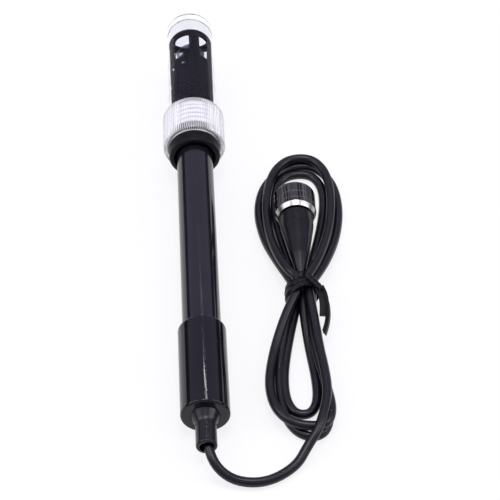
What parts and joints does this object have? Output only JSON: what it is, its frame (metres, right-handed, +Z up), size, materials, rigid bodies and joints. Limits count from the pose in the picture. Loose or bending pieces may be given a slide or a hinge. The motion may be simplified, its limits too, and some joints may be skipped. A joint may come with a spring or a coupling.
{
  "type": "ph electrode",
  "caption": "Laboratory pH electrode with a slim plastic shaft, thick handle, screw-on storage bottle over the glass tip, and a thin tied lead ending in a bayonet plug.",
  "frame": {"origin": "on the table, under the middle of the electrode from the end of its strain relief to the end of its storage bottle", "axes": "+Z up from the table, +Y along the electrode from its lead end to its sensing tip, +X towards the wound lead"},
  "size_m": [0.0587, 0.1999, 0.0211],
  "materials": {
    "shaft_plastic": "glossy blue-black moulded plastic",
    "boss_rubber": "satin black rubber",
    "stem_glass": "clear thin-walled glass",
    "inner_rubber": "dark sealing compound",
    "silver_wire": "dull silver wire with a chloride coat",
    "junction_ceramic": "white porous ceramic",
    "core_insulation": "natural insulation round the lead's core",
    "copper_screen": "twisted copper screen",
    "clear_plastic": "clear moulded plastic",
    "solution": "clear storage liquid",
    "seal_rubber": "satin black rubber",
    "nickel": "bright nickel plate",
    "insulator_white": "white fluoroplastic",
    "contact_gold": "gold-plated brass",
    "spring_steel": "plain spring steel",
    "boot_rubber": "satin black moulded rubber",
    "cable_jacket": "satin black flexible jacket",
    "tie_plastic": "black plastic-covered tie"
  },
  "bodies": {
    "electrode": {"body_tube": "shaft_plastic", "handle_cap": "shaft_plastic", "strain_relief": "boss_rubber", "glass_stem": "stem_glass", "stem_plug": "inner_rubber", "inner_element": "silver_wire", "reference_element": "silver_wire", "top_seal": "inner_rubber", "tip_seal": "inner_rubber", "junction": "junction_ceramic", "core_lead": "core_insulation", "shield_lead": "copper_screen", "cable_lead": "cable_jacket", "cable_hank": "cable_jacket", "cable_tail": "cable_jacket", "cable_tie": "tie_plastic", "plug_shell": "nickel", "plug_insulator": "insulator_white", "centre_pin": "contact_gold", "plug_gasket": "seal_rubber", "retaining_ring": "spring_steel", "crimp_ferrule": "nickel", "plug_boot": "boot_rubber"},
    "bottle": {"storage_bottle": "clear_plastic", "storage_solution": "solution"},
    "seal": {"cap_seal": "seal_rubber"},
    "cap": {"bottle_cap": "clear_plastic"},
    "nut_slide": {"spring_washer": "spring_steel"},
    "nut": {"coupling_nut": "nickel"}
  },
  "joints": [
    {"name": "bottle_pull", "type": "slide", "parent": "electrode", "child": "bottle", "axis": [0, 0.9997, 0.0252], "range_m": [0, 0.075]},
    {"name": "seal_back", "type": "slide", "parent": "bottle", "child": "seal", "axis": [0, -0.9997, -0.0252], "range_m": [0, 0.0101]},
    {"name": "cap_turn", "type": "hinge", "parent": "seal", "child": "cap", "pos_m": [0, 0.03954, 0.01057], "axis": [0, -0.9997, -0.0252], "range_deg": [0, 1728]},
    {"name": "nut_push", "type": "slide", "parent": "electrode", "child": "nut_slide", "axis": [0, 1, 0], "range_m": [0, 0.0005], "stiffness_N_per_m": 200},
    {"name": "nut_turn", "type": "hinge", "parent": "nut_slide", "child": "nut", "pos_m": [0.0323, 0.0062, 0.0066], "axis": [0, 1, 0], "continuous": true}
  ],
  "couplings": [
    {"joint": "seal_back", "follows": "cap_turn", "m_per_rad": 0.00033423}
  ]
}
